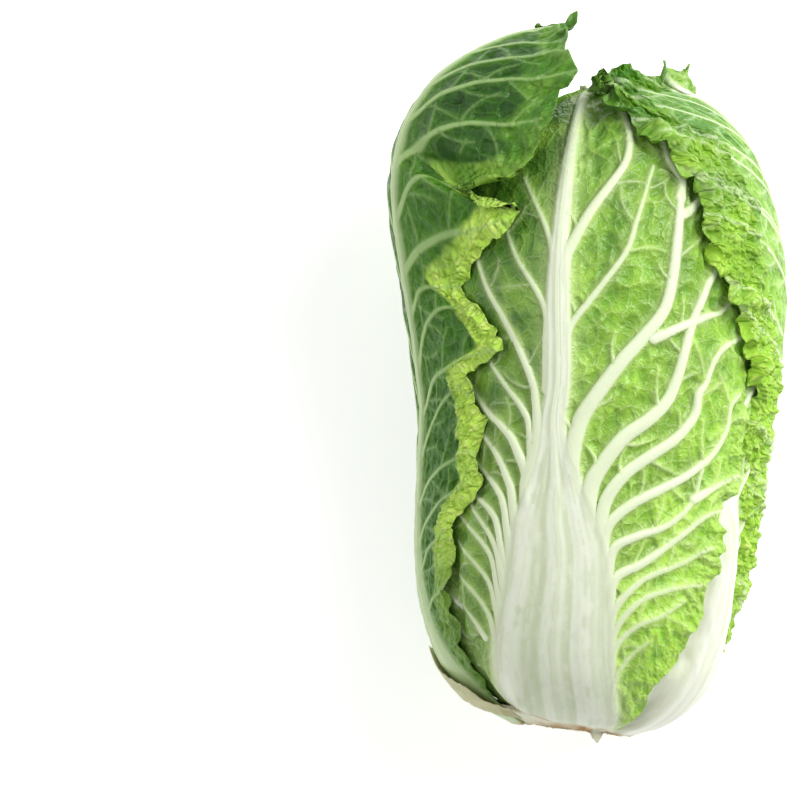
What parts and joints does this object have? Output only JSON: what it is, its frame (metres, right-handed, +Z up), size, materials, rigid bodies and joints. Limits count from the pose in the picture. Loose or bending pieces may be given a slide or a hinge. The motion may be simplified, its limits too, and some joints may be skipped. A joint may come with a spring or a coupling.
{
  "type": "napa cabbage",
  "caption": "Whole head of napa cabbage lying on its side, long and barrel-shaped, with ribbed white petioles, crinkled green leaves, one leaf standing off and a cut butt.",
  "frame": {"origin": "under the middle of the head, on the surface that it rests on", "axes": "+Y from the cut butt to the crown, +Z up from the surface that it lies on, +X to the right seen from above with the crown away"},
  "size_m": [0.1824, 0.3252, 0.1503],
  "materials": {
    "outer_leaf": "fresh leaf blade, pale raised veins and a white ribbed petiole, soft waxy sheen",
    "dark_leaf": "dark green crinkled leaf blade with pale veins, soft waxy sheen",
    "inner_leaf": "pale yellow-green tender inner leaf, matt",
    "heart": "crumpled yellow heart leaves, matt",
    "cut_stem": "cut stem, creamy white and browning at the edge, matt",
    "old_stub": "olive and beige stub of an old leaf, matt"
  },
  "bodies": {
    "root": {"stem_core": "cut_stem", "cut_leaf_bases": "old_stub", "broken_leaf_stub_left": "old_stub", "broken_leaf_stub_back": "old_stub", "left_leaf_standing_off": "dark_leaf", "back_right_leaf": "outer_leaf", "underside_leaf": "outer_leaf", "front_leaf": "outer_leaf", "left_under_leaf": "outer_leaf", "right_leaf": "outer_leaf", "back_leaf": "outer_leaf", "inner_leaf_01": "inner_leaf", "inner_leaf_02": "inner_leaf", "inner_leaf_03": "inner_leaf", "inner_leaf_04": "inner_leaf", "inner_leaf_05": "inner_leaf", "inner_leaf_06": "inner_leaf", "inner_leaf_07": "inner_leaf", "inner_leaf_08": "inner_leaf", "inner_leaf_09": "inner_leaf", "inner_leaf_10": "inner_leaf", "inner_leaf_11": "inner_leaf", "inner_leaf_12": "inner_leaf", "inner_leaf_13": "inner_leaf", "inner_leaf_14": "inner_leaf", "inner_leaf_15": "inner_leaf", "inner_leaf_16": "inner_leaf", "inner_leaf_17": "inner_leaf", "inner_leaf_18": "inner_leaf", "inner_leaf_19": "inner_leaf", "inner_leaf_20": "inner_leaf", "inner_leaf_21": "inner_leaf", "inner_leaf_22": "inner_leaf", "inner_leaf_23": "inner_leaf", "inner_leaf_24": "inner_leaf", "inner_leaf_25": "inner_leaf", "inner_leaf_26": "inner_leaf", "inner_leaf_27": "inner_leaf", "inner_leaf_28": "inner_leaf", "inner_leaf_29": "inner_leaf", "inner_leaf_30": "inner_leaf", "inner_leaf_31": "inner_leaf", "inner_leaf_32": "inner_leaf", "inner_leaf_33": "inner_leaf", "inner_leaf_34": "inner_leaf", "inner_leaf_35": "inner_leaf", "inner_leaf_36": "inner_leaf", "inner_leaf_37": "inner_leaf", "inner_leaf_38": "inner_leaf", "inner_leaf_39": "inner_leaf", "inner_leaf_40": "inner_leaf", "inner_leaf_41": "inner_leaf", "inner_leaf_42": "inner_leaf", "heart_bud": "heart"}
  },
  "joints": []
}
